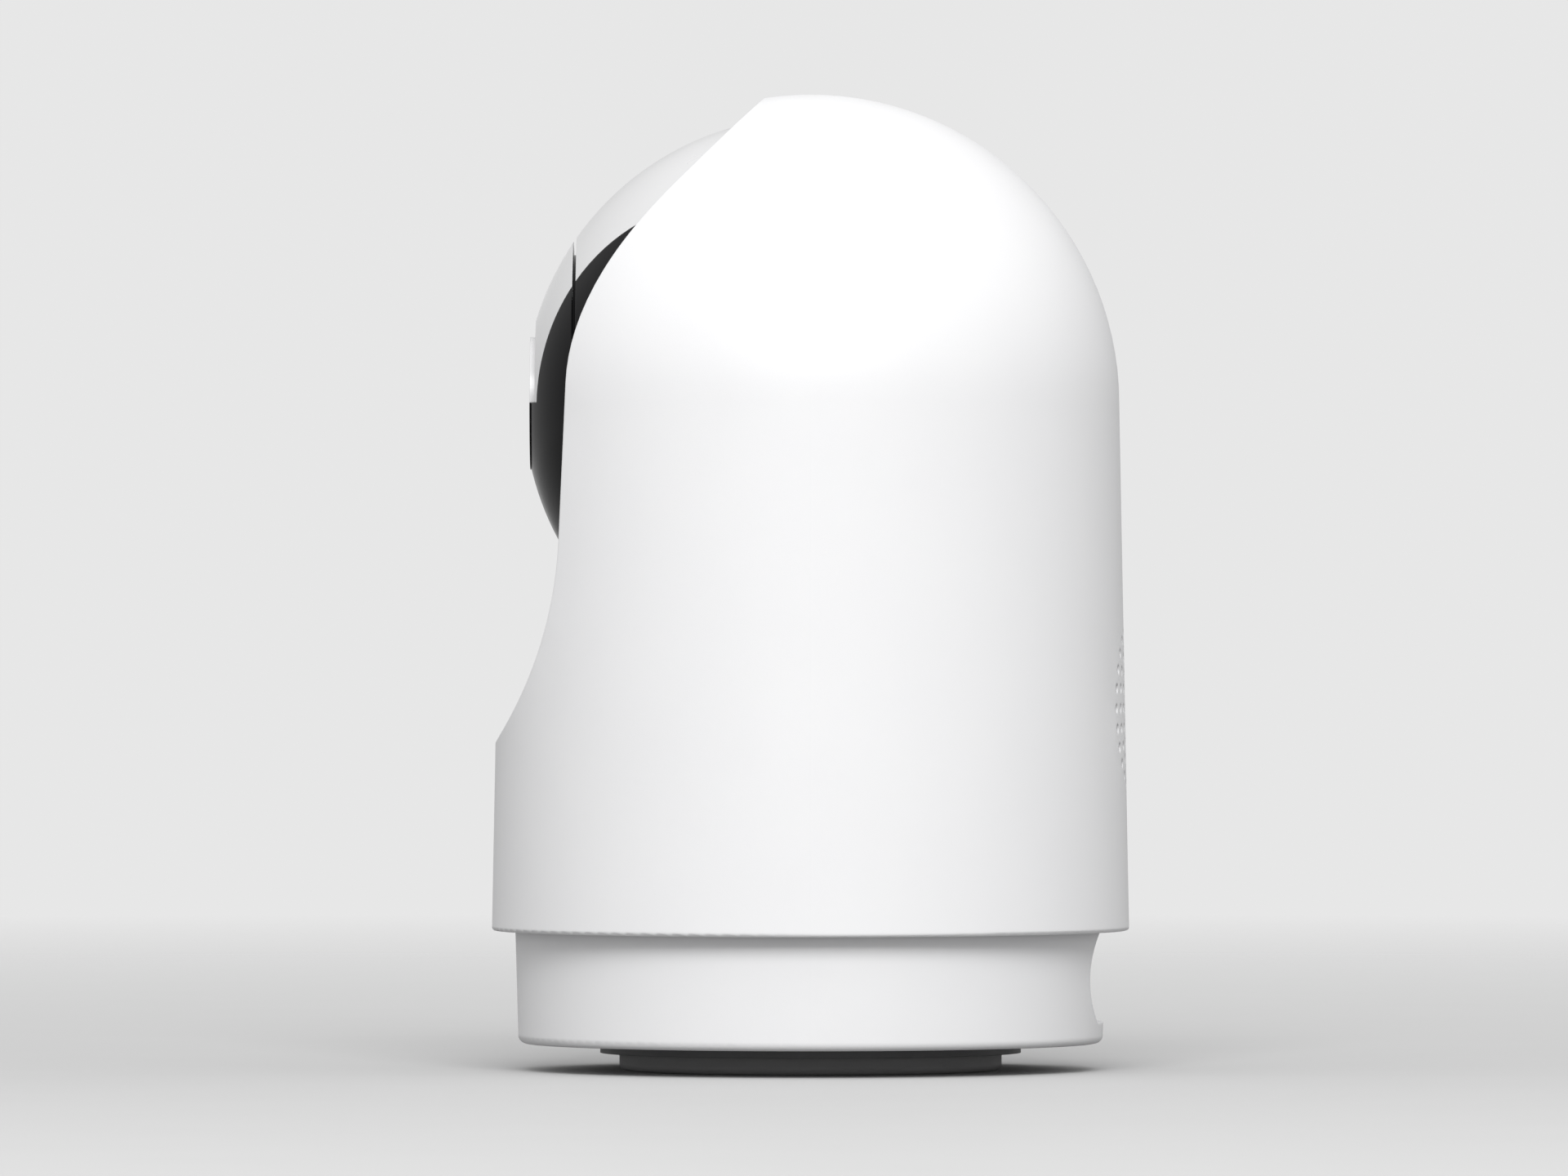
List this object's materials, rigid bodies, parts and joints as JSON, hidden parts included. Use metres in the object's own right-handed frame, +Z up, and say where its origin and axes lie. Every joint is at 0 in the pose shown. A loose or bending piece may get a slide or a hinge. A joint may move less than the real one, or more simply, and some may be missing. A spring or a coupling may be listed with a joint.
{
  "type": "security camera",
  "caption": "Small indoor security camera: a white dome body that pans on a low round base, with a tilting ball head that carries the lens.",
  "frame": {"origin": "centre of the foot's underside, on the pan axis", "axes": "+Z up along the pan axis; the lens looks along -Y; the tilt axis is parallel to X"},
  "size_m": [0.078, 0.078, 0.1194],
  "materials": {
    "white_body": "smooth satin white moulding",
    "white_head": "smooth white moulding, a little glossier than the body",
    "gloss_black": "polished black",
    "rubber": "soft dark grey rubber",
    "dark_plastic": "fine-grained dark grey",
    "inner_plastic": "fine-grained dark moulding",
    "bearing_plastic": "waxy natural acetal",
    "screw_steel": "zinc-plated",
    "socket_metal": "thin plated sheet",
    "motor_metal": "drawn steel can",
    "circuit_board": "green solder mask",
    "chip": "moulded chip package",
    "aluminium": "extruded, plain",
    "speaker_black": "paper cone and basket, black",
    "foam": "soft black foam",
    "light_guide": "clear light guide",
    "window_glass": "dark tinted window",
    "lens_glass": "coated lens",
    "lamp_clear": "smoked clear resin",
    "lens_black": "anodised dull black",
    "button": "plain white"
  },
  "bodies": {
    "base": {"rubber_foot": "rubber", "foot_plate": "dark_plastic", "base_shell": "white_body", "base_cover": "inner_plastic", "base_screws": "screw_steel", "thrust_washer": "bearing_plastic", "pan_gear": "bearing_plastic", "gear_screws": "screw_steel", "power_socket": "socket_metal", "power_board": "circuit_board", "power_board_screws": "screw_steel"},
    "body": {"body_shell": "white_body", "front_panel": "white_body", "chassis": "inner_plastic", "pan_bush": "bearing_plastic", "shell_screws": "screw_steel", "tilt_bracket_left": "inner_plastic", "tilt_bracket_right": "inner_plastic", "bracket_screws": "screw_steel", "tilt_bush": "bearing_plastic", "tilt_gear": "bearing_plastic", "tilt_gear_screws": "screw_steel", "pan_motor": "motor_metal", "pan_motor_screws": "screw_steel", "main_board": "circuit_board", "board_screws": "screw_steel", "main_processor": "chip", "heat_spreader": "aluminium", "radio_module": "socket_metal", "antenna": "circuit_board", "speaker": "speaker_black", "speaker_gasket": "foam", "indicator_board": "circuit_board", "status_light": "light_guide", "microphone": "chip"},
    "pan_drive": {"pan_pinion": "bearing_plastic"},
    "head": {"head_white_shell": "white_head", "head_dark_shell": "gloss_black", "face_plate": "gloss_black", "face_brow": "white_head", "lens_window": "window_glass", "lens_barrel": "lens_black", "front_lens": "lens_glass", "lens_holder": "lens_black", "image_board": "circuit_board", "image_board_screws": "screw_steel", "infrared_board": "circuit_board", "infrared_lamps": "lamp_clear", "head_frame": "inner_plastic", "head_screws": "screw_steel", "card_board": "circuit_board", "card_reader": "socket_metal", "tilt_motor": "motor_metal"},
    "reset": {"reset_button": "button"},
    "tilt_drive": {"tilt_pinion": "bearing_plastic"}
  },
  "joints": [
    {"name": "pan", "type": "hinge", "parent": "base", "child": "body", "pos_m": [0, 0, 0.0211], "axis": [0, 0, 1], "range_deg": [-175, 175]},
    {"name": "pan_pinion_spin", "type": "hinge", "parent": "body", "child": "pan_drive", "pos_m": [0, -0.01875, 0.0239], "axis": [0, 0, 1], "range_deg": [-705, 705]},
    {"name": "tilt", "type": "hinge", "parent": "body", "child": "head", "pos_m": [0, 0, 0.0816], "axis": [-1, 0, 0], "range_deg": [-48, 48]},
    {"name": "tilt_pinion_spin", "type": "hinge", "parent": "head", "child": "tilt_drive", "pos_m": [-0.027, 0.0105, 0.0816], "axis": [-1, 0, 0], "range_deg": [-125, 125]},
    {"name": "reset_press", "type": "slide", "parent": "head", "child": "reset", "axis": [0, 0.7071, 0.7071], "range_m": [0, 0.0004], "stiffness_N_per_m": 500, "springref_m": -0.0004}
  ],
  "couplings": [
    {"joint": "pan_pinion_spin", "follows": "pan", "ratio": 4},
    {"joint": "tilt_pinion_spin", "follows": "tilt", "ratio": 2.5}
  ]
}
